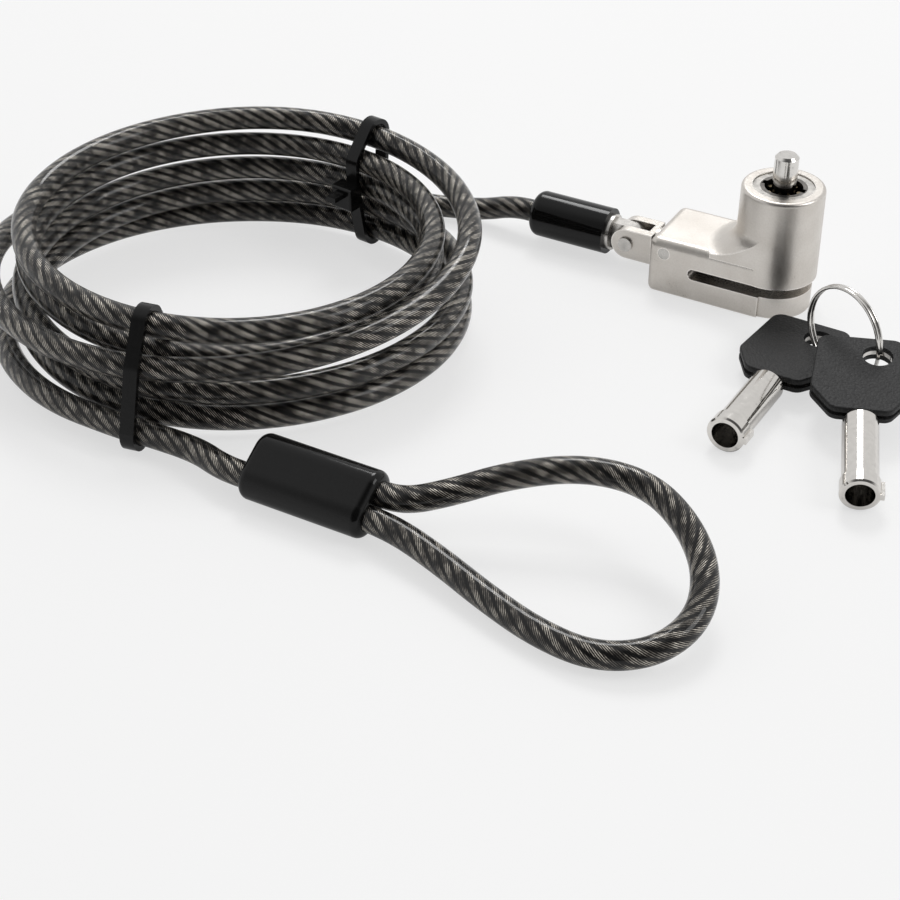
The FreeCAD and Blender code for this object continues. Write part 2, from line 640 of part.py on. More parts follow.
def cable_pieces():
    """Model the coil, the two leads and the eye as tubes that meet face to face."""
    radius = size("cable_radius")
    coil = tube(coil_edges, radius)
    check_tube("cable_coil", coil, coil_edges, [])
    solid_feature("cable_coil", coil)
    coil_start = coil_edges[0].valueAt(coil_edges[0].FirstParameter)
    start_heading = coil_edges[0].tangentAt(coil_edges[0].FirstParameter)
    coil_end = coil_edges[-1].valueAt(coil_edges[-1].LastParameter)
    end_heading = coil_edges[-1].tangentAt(coil_edges[-1].LastParameter)
    socket = Vector(-size("arm_reach") - size("head_sleeve_end") - size("fitting_length")
                    + size("cable_grip"), 0, size("swivel_z"))
    mouth = Vector(-size("arm_reach") - size("head_sleeve_end") - size("head_sleeve_length")
                   - size("mouth_straight"), 0, size("swivel_z"))
    points = [coil_end, straight_on(coil_end, end_heading, size("coil_straight"))]
    points += [Vector(*p) for p in HEAD_ROUTE] + [mouth, socket]
    edges, radii = route_path(points)
    lead = tube(edges, radius)
    check_tube("cable_lead_head", lead, edges, radii)
    solid_feature("cable_lead_head", lead)
    left, right, across = eye_exits()
    inner = size("ferrule_length")
    middle = left + Vector(size("eye_sleeve_length") / 2, 0, 0)
    grip = middle - Vector(inner / 2, 0, 0)
    low, high = -across, across
    points = [coil_start, straight_on(coil_start, -start_heading, 5.0)]
    points += [Vector(*p) for p in EYE_LEAD_ROUTE]
    points += [left + low - Vector(5.0, 0, 0), grip + low]
    edges, radii = route_path(points)
    lead = tube(edges, radius)
    check_tube("cable_lead_eye", lead, edges, radii)
    solid_feature("cable_lead_eye", lead)
    points = [grip + high + Vector(1.0, 0, 0), right + high + Vector(4.0, 0, 0)]
    points += [Vector(*p) for p in EYE_ROUTE]
    points += [right + low + Vector(4.0, 0, 0), grip + low]
    edges, radii = route_path(points)
    eye = tube(edges, radius)
    check_tube("cable_eye", eye, edges, radii)
    return solid_feature("cable_eye", eye)


def oval(half_pitch, radius, length, start, roll):
    """Make an oval bar along +X: two half rounds a pitch apart with flats between."""
    a = Vector(0, half_pitch, radius)
    b = Vector(0, -half_pitch, radius)
    c = Vector(0, -half_pitch, -radius)
    d = Vector(0, half_pitch, -radius)
    edges = [
        Part.LineSegment(a, b).toShape(),
        Part.Arc(b, Vector(0, -half_pitch - radius, 0), c).toShape(),
        Part.LineSegment(c, d).toShape(),
        Part.Arc(d, Vector(0, half_pitch + radius, 0), a).toShape(),
    ]
    bar = Part.Face(Part.Wire(edges)).extrude(Vector(length, 0, 0))
    bar.rotate(Vector(), Vector(1, 0, 0), roll)
    bar.translate(start)
    return bar


def eye_end_pieces():
    """Model the oval ferrule on the two strands and the black sleeve over it."""
    left, right, across = eye_exits()
    half_pitch = across.Length
    roll = size("eye_roll")
    radius = size("cable_radius")
    length = size("ferrule_length")
    start = left + Vector((size("eye_sleeve_length") - length) / 2, 0, 0)
    ferrule = oval(half_pitch, radius + size("ferrule_wall"), length, start, roll)
    outer = oval(half_pitch, radius + size("ferrule_wall") + size("eye_sleeve_wall"),
                 size("eye_sleeve_length"), left, roll)
    ends = [e for e in outer.Edges if e.BoundBox.XLength < 0.01]
    outer = outer.makeFillet(size("eye_sleeve_round"), ends)
    heading = Vector(1, 0, 0)
    far = left - heading
    bores = [Part.makeCylinder(radius, size("eye_sleeve_length") + 2, far + across * side, heading)
             for side in (1, -1)]
    low_bore = Part.makeCylinder(radius, size("eye_sleeve_length") + 2, far - across, heading)
    high_bore = Part.makeCylinder(radius, size("eye_sleeve_length"), start + across + heading, heading)
    sleeve = outer.cut(ferrule).cut(low_bore).cut(high_bore)
    solid_feature("eye_ferrule", ferrule.cut(bores[1]).cut(high_bore))
    return solid_feature("eye_sleeve", sleeve)


def strand_crossings(tie_angle):
    """Find where the coil's strands cross the upright plane at a tie's angle."""
    angle = math.radians(tie_angle + IMAGE_TURN)
    out = Vector(math.cos(angle), math.sin(angle), 0)
    side = Vector(-math.sin(angle), math.cos(angle), 0)
    points = [p - COIL_CENTER for p in sample(coil_edges, 0.6)]
    found = []
    for a, b in zip(points, points[1:]):
        da, db = a.dot(side), b.dot(side)
        if a.dot(out) > 0 and da * db <= 0 and da != db:
            share = da / (da - db)
            p = a + (b - a) * share
            found.append((p.dot(out), p.z))
    return found, out, side


def hull(points):
    """Give the convex outline of flat points, counter-clockwise."""
    ordered = sorted(set(points))

    def half(rows):
        line = []
        for p in rows:
            while len(line) > 1 and turn_sign(line[-2], line[-1], p) <= 0:
                line.pop()
            line.append(p)
        return line[:-1]
    return half(ordered) + half(ordered[::-1])


def turn_sign(a, b, c):
    """Tell whether three flat points turn left."""
    return (b[0] - a[0]) * (c[1] - a[1]) - (b[1] - a[1]) * (c[0] - a[0])


def wrap_face(points, radius, out):
    """Make the flat face inside a band drawn tight at a radius round the given points."""
    corners = hull(points)
    count = len(corners)
    edges, ends = [], []
    for n in range(count):
        a, b = corners[n], corners[(n + 1) % count]
        run = math.hypot(b[0] - a[0], b[1] - a[1])
        normal = ((b[1] - a[1]) / run, -(b[0] - a[0]) / run)
        ends.append((normal, a, b))

    def spot(corner, normal):
        flat = (corner[0] + normal[0] * radius, corner[1] + normal[1] * radius)
        return COIL_CENTER + out * flat[0] + Vector(0, 0, flat[1])
    for n in range(count):
        normal, a, b = ends[n]
        after = ends[(n + 1) % count][0]
        edges.append(Part.LineSegment(spot(a, normal), spot(b, normal)).toShape())
        mean = (normal[0] + after[0], normal[1] + after[1])
        scale = math.hypot(*mean)
        middle = (mean[0] / scale, mean[1] / scale)
        edges.append(Part.Arc(spot(b, normal), spot(b, middle), spot(b, after)).toShape())
    return Part.Face(Part.Wire(edges)), corners


def tie_pieces(name, tie_angle):
    """Model one cable tie: the strap drawn round the strands and its head on the inside."""
    points, out, side = strand_crossings(tie_angle)
    inner = size("cable_radius") + size("tie_clearance")
    outer = inner + size("tie_thickness")
    width = size("tie_width")
    inside, corners = wrap_face(points, inner, out)
    outside, corners = wrap_face(points, outer, out)
    band = outside.extrude(side * width).cut(inside.extrude(side * width))
    band.translate(side * (-width / 2))
    solid_feature(f"{name}_strap", band)
    reach = min(p[0] for p in corners) - outer
    middle = 0.5 * (min(p[1] for p in corners) + max(p[1] for p in corners))
    head_width, head_height = size("tie_head_width"), size("tie_head_height")
    depth = size("tie_head_depth")
    box = Part.makeBox(depth + 1.5, head_width, head_height, Vector(-depth, -head_width / 2, -head_height / 2))
    box = box.makeFillet(0.5, [e for e in box.Edges if e.BoundBox.XMax < -depth + 0.01])
    tail = Part.makeBox(size("tie_tail"), width - 0.4, size("tie_thickness"),
                        Vector(-depth - size("tie_tail"), -(width - 0.4) / 2, 0.6))
    block_shape = box.fuse(tail)
    block_shape = placed(block_shape, tie_angle, reach, middle)
    fat = outside.extrude(side * (2 * head_width))
    fat.translate(side * (-head_width))
    return solid_feature(f"{name}_head", block_shape.cut(fat))


def placed(shape, tie_angle, reach, height):
    """Turn and move a tie's block to its place on the coil's inside."""
    moved = shape.copy()
    angle = math.radians(tie_angle + IMAGE_TURN)
    out = Vector(math.cos(angle), math.sin(angle), 0)
    moved.Placement = Placement(COIL_CENTER + out * reach + Vector(0, 0, height),
                                Rotation(Vector(0, 0, 1), tie_angle + IMAGE_TURN))
    return moved


# Keys and ring

def key_pieces(name, hole_spot, turn, tilt):
    """Model one tubular key: tube, blade and two bow covers, set down by its ring hole."""
    hole = Vector(size("key_hole_along"), size("key_hole_side"), 0)
    lay = Rotation(Vector(0, 0, 1), turn) * Rotation(Vector(0, 1, 0), tilt)
    base = hole_spot - lay.multVec(hole)
    lie = Placement(base, lay)
    tube_start = size("bow_length") - 1.0
    tube_end = size("bow_length") + size("neck_length") + size("key_tube_length")
    axis = Vector(1, 0, 0)
    shell = Part.makeCylinder(size("key_tube_radius"), tube_end - tube_start - size("neck_length"),
                              Vector(tube_start + size("neck_length"), 0, 0), axis)
    bit = Part.makeCylinder(size("key_bit_radius"), size("key_bit_length"),
                            Vector(tube_end - size("key_bit_length"), 0, 0), axis)
    bit = bit.makeChamfer(0.3, [e for e in bit.Edges if e.BoundBox.XLength < 0.01])
    lug = Part.makeBox(size("key_bit_length"), size("key_lug_height") + 0.5, size("key_lug_width"),
                       Vector(tube_end - size("key_bit_length"), size("key_bit_radius") - 0.5,
                              -size("key_lug_width") / 2))
    bore = Part.makeCylinder(size("key_bore_radius"), size("key_bore_depth"),
                             Vector(tube_end - size("key_bore_depth"), 0, 0), axis)
    blade = Part.makeBox(size("blade_reach") + 2.0, size("blade_width"), size("blade_thickness"),
                         Vector(tube_start, -size("blade_width") / 2, -size("blade_thickness") / 2))
    shaft = shell.fuse(bit).fuse(lug).cut(bore).cut(blade)
    solid_feature(f"{name}_tube", shaft, lie)
    plate = bow_outline(0.6).extrude(Vector(0, 0, size("blade_thickness")))
    plate.translate(Vector(0, 0, -size("blade_thickness") / 2))
    ring_hole = Part.makeCylinder(size("key_hole_radius"), size("hole_cutter"),
                                  Vector(hole.x, hole.y, -size("hole_cutter") / 2))
    solid_feature(f"{name}_blade", plate.fuse(blade).removeSplitter().cut(ring_hole), lie)
    for side, word in ((1, "top"), (-1, "bottom")):
        cover = bow_outline(0.0).extrude(Vector(0, 0, side * size("bow_cover")))
        cover.translate(Vector(0, 0, side * size("blade_thickness") / 2))
        edge_height = side * (size("blade_thickness") / 2 + size("bow_cover"))
        rims = [e for e in cover.Edges
                if abs(e.BoundBox.ZMin - edge_height) < 0.01 and abs(e.BoundBox.ZMax - edge_height) < 0.01]
        cover = cover.makeFillet(size("bow_round"), rims)
        solid_feature(f"{name}_cover_{word}", cover.cut(ring_hole), lie)


def bow_outline(inset):
    """Make the bow's flat face: wide in the middle, narrower at its end and its neck."""
    length = size("bow_length") - inset
    end_half = size("bow_end_width") / 2 - inset
    wide_half = size("bow_wide") / 2 - inset
    neck_half = size("bow_neck_width") / 2 - inset
    widest = size("bow_length") * 0.72
    corners = [(inset, -end_half), (widest, -wide_half), (length, -neck_half),
               (length, neck_half), (widest, wide_half), (inset, end_half)]
    wire = Part.makePolygon([Vector(x, y, 0) for x, y in corners + corners[:1]])
    face = Part.Face(wire)
    prism = face.extrude(Vector(0, 0, 1))
    uprights = [e for e in prism.Edges if e.BoundBox.ZLength > 0.9]
    prism = prism.makeFillet(size("bow_corner"), uprights)
    return next(f for f in prism.Faces if abs(f.CenterOfMass.z) < 1e-6)


def ring_and_keys():
    """Stand the split ring through both keys, and lay the keys by their holes."""
    radius = size("ring_radius")
    wire = size("ring_wire")
    center = Vector(size("ring_center_x"), size("ring_center_y"), radius + wire + size("ring_lift"))
    turn = size("ring_turn")
    along = Vector(math.cos(math.radians(turn)), math.sin(math.radians(turn)), 0)
    stack = size("blade_thickness") + 2 * size("bow_cover")
    z_low = size("key_bit_radius") + 0.05
    z_high = z_low + stack + size("key_gap") + 0.9
    half_stack = stack / 2
    inner_low = math.sqrt((radius - wire) ** 2 - (center.z - z_low + half_stack) ** 2)
    outer_low = math.sqrt((radius + wire) ** 2 - (center.z - z_low - half_stack) ** 2)
    chord_low = 0.5 * (inner_low + outer_low)
    chord_high = math.sqrt(radius ** 2 - (center.z - z_high) ** 2)
    spot_low = Vector(center.x, center.y, z_low) - along * chord_low
    spot_high = Vector(center.x, center.y, z_high) + along * chord_high
    key_pieces("key_a", spot_low, size("key_a_turn"), 0.0)
    key_pieces("key_b", spot_high, size("key_b_turn"), size("key_b_tilt"))
    rings = []
    for side in (1, -1):
        torus = Part.makeTorus(radius, wire)
        torus.translate(Vector(0, 0, side * wire))
        rings.append(torus)
    ring = rings[0].fuse(rings[1])
    lay = Rotation(Vector(0, 0, 1), turn) * Rotation(Vector(1, 0, 0), 90)
    return solid_feature("key_ring", ring, Placement(center, lay))


lock_housing()
core_pieces()
plunger_pieces()
swivel_pieces()
head_end_pieces()
cable_pieces()
eye_end_pieces()
tie_pieces("front_tie", size("front_tie_angle"))
tie_pieces("rear_tie", size("rear_tie_angle"))
ring_and_keys()
doc.recompute()

for item in doc.Objects:
    if "Invalid" in item.State or "Error" in item.State:
        raise RuntimeError(f"{item.Name} ({item.Label}) failed: {item.State}")
for item in finished:
    shape = item.Shape
    if shape.isNull() or not shape.isValid():
        raise RuntimeError(f"{item.Label} has no valid shape")
    print(f"{item.Label}: {len(shape.Solids)} solid, {shape.Volume:.1f} mm3, box {shape.BoundBox}")
for item in finished:
    item.Shape.exportStep(f"parts/{item.Label}.step")
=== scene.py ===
"""Laptop cable lock: push-to-lock head, tied coil of jacketed cable, eye and two tubular keys.

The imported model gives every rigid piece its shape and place. This file dresses those
pieces, lays the cable along its own smooth line, winds the split ring and the barrel's
springs, and sets up a plain pale studio with the camera of the picture.
"""
import logging
import math
from collections.abc import Sequence
from dataclasses import dataclass, field
from enum import Enum

import bmesh
import bpy
from mathutils import Matrix, Vector


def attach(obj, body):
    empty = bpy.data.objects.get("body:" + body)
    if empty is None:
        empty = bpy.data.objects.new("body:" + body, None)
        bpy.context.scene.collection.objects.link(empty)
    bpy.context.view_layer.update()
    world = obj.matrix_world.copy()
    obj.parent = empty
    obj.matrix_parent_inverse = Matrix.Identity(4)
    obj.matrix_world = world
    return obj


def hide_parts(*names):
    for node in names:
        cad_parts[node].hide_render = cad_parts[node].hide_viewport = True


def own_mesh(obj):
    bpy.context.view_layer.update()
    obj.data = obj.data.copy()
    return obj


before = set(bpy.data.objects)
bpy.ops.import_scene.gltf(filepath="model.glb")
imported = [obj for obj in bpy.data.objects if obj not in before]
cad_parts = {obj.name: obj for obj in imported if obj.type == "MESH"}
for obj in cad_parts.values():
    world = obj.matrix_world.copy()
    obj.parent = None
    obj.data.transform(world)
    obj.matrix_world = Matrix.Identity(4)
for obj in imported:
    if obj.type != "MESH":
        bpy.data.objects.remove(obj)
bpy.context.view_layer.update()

MM = 0.001
WHITE = (1.0, 1.0, 1.0, 1.0)
LOG = logging.getLogger("cable_lock")


class Lay(Enum):
    """The way the rope's strands turn, seen along the cable."""

    RIGHT = 1.0
    LEFT = -1.0


class Nodes:
    """A node tree in the making: it adds nodes, joins them and works out sums."""

    def __init__(self, tree: bpy.types.NodeTree) -> None:
        """Take a tree.

        Args:
            tree: the node tree of a material or of the world.
        """
        self.tree = tree

    def node(self, kind: str, inputs: dict | None = None, **settings: object) -> bpy.types.Node:
        """Add one node.

        Args:
            kind: the node's type.
            inputs: what its sockets get, by name or number.
            **settings: its own settings.

        Returns:
            The new node.
        """
        made = self.tree.nodes.new(kind)
        for word, value in settings.items():
            setattr(made, word, value)
        for socket, value in (inputs or {}).items():
            self.feed(made.inputs[socket], value)
        return made

    def feed(self, socket: bpy.types.NodeSocket, value: object) -> None:
        """Give a socket a plain value, or join another node's output to it.

        Args:
            socket: the socket.
            value: a number, colour or vector, or an output.
        """
        if isinstance(value, bpy.types.NodeSocket):
            self.tree.links.new(value, socket)
        else:
            socket.default_value = value

    def sum(self, operation: str, first: object, second: object = 0.0) -> bpy.types.NodeSocket:
        """Work out one sum of two values.

        Args:
            operation: the kind of sum.
            first: its first value.
            second: its second value.

        Returns:
            The result.
        """
        return self.node("ShaderNodeMath", {0: first, 1: second}, operation=operation).outputs[0]

    def stretch(self, value: bpy.types.NodeSocket, low: float, high: float,
                new_low: float, new_high: float) -> bpy.types.NodeSocket:
        """Stretch a value from one range to another.

        Args:
            value: the value.
            low: the start of its range.
            high: the end of its range.
            new_low: what the start becomes.
            new_high: what the end becomes.

        Returns:
            The stretched value.
        """
        made = self.node("ShaderNodeMapRange", {"Value": value, "From Min": low, "From Max": high,
                                                "To Min": new_low, "To Max": new_high})
        return made.outputs["Result"]


class Recipe(Nodes):
    """A material in the making, with its patterns and its main shader."""

    def __init__(self, name: str) -> None:
        """Start a material with its main shader.

        Args:
            name: the material's name.
        """
        self.material = bpy.data.materials.new(name)
        self.material.use_nodes = True
        super().__init__(self.material.node_tree)
        self.shader = self.tree.nodes["Principled BSDF"]

    def set(self, **values: object) -> None:
        """Set the main shader's sockets.

        Args:
            **values: the sockets, named with underscores for their spaces, and what they get.
        """
        for word, value in values.items():
            self.feed(self.shader.inputs[word.replace("_", " ")], value)

    def place(self) -> bpy.types.NodeSocket:
        """Find the place on the piece.

        Returns:
            The object's own coordinates, in metres.
        """
        return self.node("ShaderNodeTexCoord").outputs["Object"]

    def noise(self, vector: bpy.types.NodeSocket, scale: float, detail: float = 3.0) -> bpy.types.NodeSocket:
        """Add a noise pattern.

        Args:
            vector: the coordinates it reads.
            scale: how many features there are in a metre.
            detail: how many finer layers it has.

        Returns:
            The noise value.
        """
        made = self.node("ShaderNodeTexNoise", {"Vector": vector, "Scale": scale, "Detail": detail})
        return made.outputs["Fac"]

    def tones(self, value: bpy.types.NodeSocket,
              stops: Sequence[tuple[float, tuple[float, float, float]]]) -> bpy.types.NodeSocket:
        """Turn a value into colours.

        Args:
            value: the value, from 0 to 1.
            stops: places and colours.

        Returns:
            The colour.
        """
        made = self.node("ShaderNodeValToRGB", {"Fac": value})
        ramp = made.color_ramp
        while len(ramp.elements) < len(stops):
            ramp.elements.new(0.5)
        for element, (place, colour) in zip(ramp.elements, stops):
            element.position = place
            element.color = (*colour, 1.0)
        return made.outputs["Color"]

    def bump(self, height: bpy.types.NodeSocket, strength: float, distance: float) -> bpy.types.NodeSocket:
        """Add a bump.

        Args:
            height: the height pattern.
            strength: how strong it is, up to 1.
            distance: how high it stands, in metres.

        Returns:
            The bent normal.
        """
        made = self.node("ShaderNodeBump", {"Height": height, "Strength": strength, "Distance": distance})
        return made.outputs["Normal"]

    def edge(self, radius: float) -> bpy.types.NodeSocket:
        """Find outer and inner edges.

        Args:
            radius: how far from an edge the effect reaches, in metres.

        Returns:
            0 on flat stretches, rising to 1 at an edge.
        """
        soft = self.node("ShaderNodeBevel", {"Radius": radius}, samples=6).outputs["Normal"]
        sharp = self.node("ShaderNodeNewGeometry").outputs["Normal"]
        along = self.node("ShaderNodeVectorMath", {0: soft, 1: sharp}, operation="DOT_PRODUCT")
        return self.stretch(along.outputs["Value"], 0.999, 0.93, 0.0, 1.0)

    def hollow_shade(self, reach: float) -> bpy.types.NodeSocket:
        """Find deep hollows, for painted shade that darkens bores and slots.

        Args:
            reach: how far it looks for walls opposite, in metres.

        Returns:
            1 on open faces, falling to 0 deep inside a bore or slot.
        """
        # Ambient occlusion used as a colour mask: it paints shade deep inside bores and slots.
        made = self.node("ShaderNodeAmbientOcclusion", {"Distance": reach}, samples=8)
        return self.stretch(made.outputs["AO"], 0.12, 0.62, 0.0, 1.0)


@dataclass(frozen=True)
class CastNickel:
    """Nickel over a fine-grained zinc casting, brighter where its edges were polished, with painted shade
    darkening its slot and bores.
    """

    name: str = "cast_nickel"
    grain: float = 3000.0
    # The colour deep in the slot and bores: painted shade.
    shade_tone: tuple[float, float, float] = (0.05, 0.046, 0.042)
    tint: tuple[float, float, float] = (0.62, 0.582, 0.536)
    polish: tuple[float, float, float] = (0.86, 0.83, 0.79)
    plain: float = 0.15
    edge_reach: float = 0.45 * MM
    slot_reach: float = 7 * MM

    def make(self) -> bpy.types.Material:
        """Mix the material.

        Returns:
            The material.
        """
        recipe = Recipe(self.name)
        spot = recipe.place()
        grain = recipe.noise(spot, self.grain, 4.0)
        cloud = recipe.noise(spot, 160.0, 3.0)
        edge = recipe.edge(self.edge_reach)
        tone = recipe.sum("ADD", recipe.stretch(cloud, 0.3, 0.7, 0.0, 0.35),
                          recipe.sum("MULTIPLY", edge, 0.65))
        # Painted shade: the hollow mask darkens the colour deep inside the slot and bores; the cloud and
        # edge polish are real wear.
        worn_and_shaded = recipe.sum("MULTIPLY", recipe.sum("ADD", tone, self.plain), recipe.hollow_shade(self.slot_reach))
        speckled = recipe.sum("ADD", worn_and_shaded, recipe.stretch(grain, 0.35, 0.65, -0.04, 0.12))
        stops = [(0.0, self.shade_tone), (self.plain, self.tint), (1.0, self.polish)]
        recipe.set(Base_Color=recipe.tones(speckled, stops),
                   Metallic=1.0,
                   Roughness=recipe.sum("SUBTRACT", recipe.stretch(grain, 0.2, 0.8, 0.26, 0.42),
                                        recipe.sum("MULTIPLY", edge, 0.16)),
                   Normal=recipe.bump(grain, 0.45, 0.06 * MM))
        return recipe.material


@dataclass(frozen=True)
class TurnedSteel:
    """Turned or ground steel with fine rings about the barrel's axis, and painted shade inside its bores."""

    name: str
    tint: tuple[float, float, float]
    rough: float = 0.3
    bore_reach: float = 4 * MM

    def make(self) -> bpy.types.Material:
        """Mix the material.

        Returns:
            The material.
        """
        recipe = Recipe(self.name)
        spot = recipe.place()
        rings = recipe.node("ShaderNodeTexWave", {"Vector": spot, "Scale": 900.0, "Distortion": 1.5,
                                                  "Detail": 2.0},
                            wave_type="RINGS", rings_direction="Z").outputs["Fac"]
        smear = recipe.noise(spot, 700.0)
        darker = tuple(0.72 * c for c in self.tint)
        # The near-black colour is painted shade, for deep inside the bores; the smear tone is real.
        shade_tone = tuple(0.08 * c for c in self.tint)
        smear_and_shade = recipe.sum("MULTIPLY", smear, recipe.hollow_shade(self.bore_reach))
        recipe.set(Base_Color=recipe.tones(smear_and_shade, [(0.0, shade_tone), (0.3, darker), (0.7, self.tint)]),
                   Metallic=1.0,
                   Roughness=recipe.stretch(smear, 0.3, 0.7, self.rough - 0.06, self.rough + 0.08),
                   Normal=recipe.bump(rings, 0.2, 0.02 * MM))
        return recipe.material


@dataclass(frozen=True)
class Plate:
    """Bright nickel plate with a trace of handling marks, and painted shade inside its bores."""

    name: str
    tint: tuple[float, float, float] = (0.76, 0.735, 0.70)
    rough: float = 0.10
    bore_reach: float = 5 * MM

    def make(self) -> bpy.types.Material:
        """Mix the material.

        Returns:
            The material.
        """
        recipe = Recipe(self.name)
        spot = recipe.place()
        marks = recipe.noise(spot, 900.0, 5.0)
        drawn = recipe.node("ShaderNodeMapping", {"Vector": spot, "Scale": (1.0, 0.12, 1.0)}).outputs[0]
        lines = recipe.noise(drawn, 5200.0, 2.0)
        # The near-black colour is painted shade: the handling marks are darkened deep inside bores.
        dull, shade_tone = tuple(0.93 * c for c in self.tint), tuple(0.04 * c for c in self.tint)
        worn_and_shaded = recipe.sum("MULTIPLY", marks, recipe.hollow_shade(self.bore_reach))
        recipe.set(Base_Color=recipe.tones(worn_and_shaded, [(0.02, shade_tone), (0.32, dull), (0.62, self.tint)]),
                   Metallic=1.0,
                   Roughness=recipe.stretch(marks, 0.3, 0.75, self.rough - 0.03, self.rough + 0.05),
                   Normal=recipe.bump(lines, 0.12, 0.01 * MM))
        return recipe.material


@dataclass(frozen=True)
class SmokeJacket:
    """Clear smoke jacket over a steel wire rope: strands, their wires and a glossy skin, with painted shade
    in the grooves and painted highlights on the strand and wire crowns.
    """

    name: str = "cable_jacket"
    strands: int = 8
    pitch: float = 25 * MM
    wires: int = 32
    wire_pitch: float = 13 * MM
    lay: Lay = Lay.LEFT
    # Colours from painted shade in the grooves to a painted highlight on the crowns.
    tones: tuple[tuple[float, tuple[float, float, float]], ...] = (
        (0.0, (0.002, 0.002, 0.002)), (0.3, (0.020, 0.018, 0.016)),
        (0.65, (0.20, 0.18, 0.155)), (1.0, (0.80, 0.745, 0.655)))

    def make(self) -> bpy.types.Material:
        """Mix the material, which reads the cable's own length and turn from its UV map.

        Returns:
            The material.
        """
        recipe = Recipe(self.name)
        uv = recipe.node("ShaderNodeUVMap", uv_map="along").outputs["UV"]
        split = recipe.node("ShaderNodeSeparateXYZ", {"Vector": uv})
        along, turn = split.outputs["X"], split.outputs["Y"]
        strand = self.wave(recipe, along, turn, self.strands, self.lay.value / self.pitch)
        wire = self.wave(recipe, along, turn, self.wires, self.lay.value / self.wire_pitch)
        blotch = recipe.noise(recipe.place(), 420.0, 4.0)
        # The base colour paints shade in the grooves between strands and highlights on the strand and wire
        # crowns.
        groove = recipe.stretch(strand, 0.03, 0.5, 0.0, 1.0)
        shine = recipe.sum("MULTIPLY", groove, recipe.stretch(wire, 0.35, 1.0, 0.16, 1.0))
        lit = recipe.sum("MULTIPLY", shine, recipe.stretch(blotch, 0.3, 0.7, 0.3, 1.35))
        height = recipe.sum("ADD", strand, recipe.sum("MULTIPLY", wire, 0.3))
        recipe.set(Base_Color=recipe.tones(lit, self.tones),
                   Metallic=0.45, Roughness=0.36, Specular_IOR_Level=0.2,
                   Normal=recipe.bump(height, 0.8, 0.25 * MM),
                   Coat_Weight=0.8, Coat_Roughness=0.06, Coat_IOR=1.4)
        return recipe.material

    def wave(self, recipe: Recipe, along: bpy.types.NodeSocket, turn: bpy.types.NodeSocket,
             count: int, slope: float) -> bpy.types.NodeSocket:
        """Draw evenly spaced lines that wind round the cable.

        Args:
            recipe: the material.
            along: the distance along the cable, in metres.
            turn: the turn round the cable, from 0 to 1.
            count: the number of lines round the cable.
            slope: their turns for each metre.

        Returns:
            A wave from 0 in the grooves to 1 on the crowns.
        """
        phase = recipe.sum("MULTIPLY", recipe.sum("ADD", turn, recipe.sum("MULTIPLY", along, slope)),
                           2.0 * math.pi * count)
        return recipe.stretch(recipe.sum("SINE", phase), -1.0, 1.0, 0.0, 1.0)


@dataclass(frozen=True)
class BlackGloss:
    """Moulded black plastic with a wet gloss and slight unevenness."""

    name: str
    rough: float = 0.09
    grain: float = 260.0
    tint: tuple[float, float, float] = (0.002, 0.002, 0.002)

    def make(self) -> bpy.types.Material:
        """Mix the material.

        Returns:
            The material.
        """
        recipe = Recipe(self.name)
        spot = recipe.place()
        swell = recipe.noise(spot, self.grain, 2.0)
        dust = recipe.noise(spot, 2600.0, 4.0)
        paler = tuple(c + 0.004 for c in self.tint)
        recipe.set(Base_Color=recipe.tones(dust, [(0.35, self.tint), (0.8, paler)]),
                   Roughness=recipe.stretch(swell, 0.3, 0.7, self.rough - 0.03, self.rough + 0.07),
                   Normal=recipe.bump(swell, 0.15, 0.08 * MM), Specular_IOR_Level=0.28)
        return recipe.material


@dataclass(frozen=True)
class MottledCover:
    """Black key cover with the fine leathery grain of a moulded grip."""

    name: str = "key_cover"
    grain: float = 2300.0
    dark: tuple[float, float, float] = (0.004, 0.004, 0.004)
    pale: tuple[float, float, float] = (0.034, 0.034, 0.035)

    def make(self) -> bpy.types.Material:
        """Mix the material.

        Returns:
            The material.
        """
        recipe = Recipe(self.name)
        spot = recipe.place()
        cells = recipe.node("ShaderNodeTexVoronoi", {"Vector": spot, "Scale": self.grain},
                            feature="SMOOTH_F1").outputs["Distance"]
        fine = recipe.noise(spot, 5200.0, 3.0)
        edge = recipe.edge(0.3 * MM)
        relief = recipe.sum("ADD", cells, recipe.sum("MULTIPLY", fine, 0.4))
        tone = recipe.sum("ADD", recipe.sum("MULTIPLY", relief, 0.55), recipe.sum("MULTIPLY", edge, 0.3))
        recipe.set(Base_Color=recipe.tones(tone, [(0.1, self.dark), (0.9, self.pale)]),
                   Roughness=recipe.stretch(relief, 0.1, 0.9, 0.40, 0.62),
                   Normal=recipe.bump(relief, 0.8, 0.12 * MM), Specular_IOR_Level=0.35)
        return recipe.material


def dress(material: bpy.types.Material, names: list[str]) -> None:
    """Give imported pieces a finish.

    Args:
        material: the finish.
        names: the pieces' names.
    """
    for name in names:
        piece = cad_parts[name]
        for slot in piece.material_slots:
            slot.material = material
        LOG.info("dressed %s with %s", name, material.name)


def close_ends(shape: bmesh.types.BMesh, sides: int) -> None:
    """Close the open ends of a tube and turn its faces outward.

    Args:
        shape: the tube.
        sides: how many sides it has.
    """
    ends = [edge for edge in shape.edges if edge.is_boundary]
    bmesh.ops.holes_fill(shape, edges=ends, sides=sides + 1)
    bmesh.ops.recalc_face_normals(shape, faces=list(shape.faces))


def from_bmesh(shape: bmesh.types.BMesh, name: str, material: bpy.types.Material,
               smooth_angle: float = 40.0) -> bpy.types.Object:
    """Turn a finished shape into a piece of the scene.

    Args:
        shape: the shape, in metres at its own place; it is freed.
        name: the piece's name.
        material: its finish.
        smooth_angle: edges bent by less than this look smooth, in degrees.

    Returns:
        The new object.
    """
    mesh = bpy.data.meshes.new(name)
    shape.to_mesh(mesh)
    shape.free()
    for polygon in mesh.polygons:
        polygon.use_smooth = True
    mesh.set_sharp_from_angle(angle=math.radians(smooth_angle))
    mesh.materials.append(material)
    piece = bpy.data.objects.new(name, mesh)
    bpy.context.collection.objects.link(piece)
    return piece


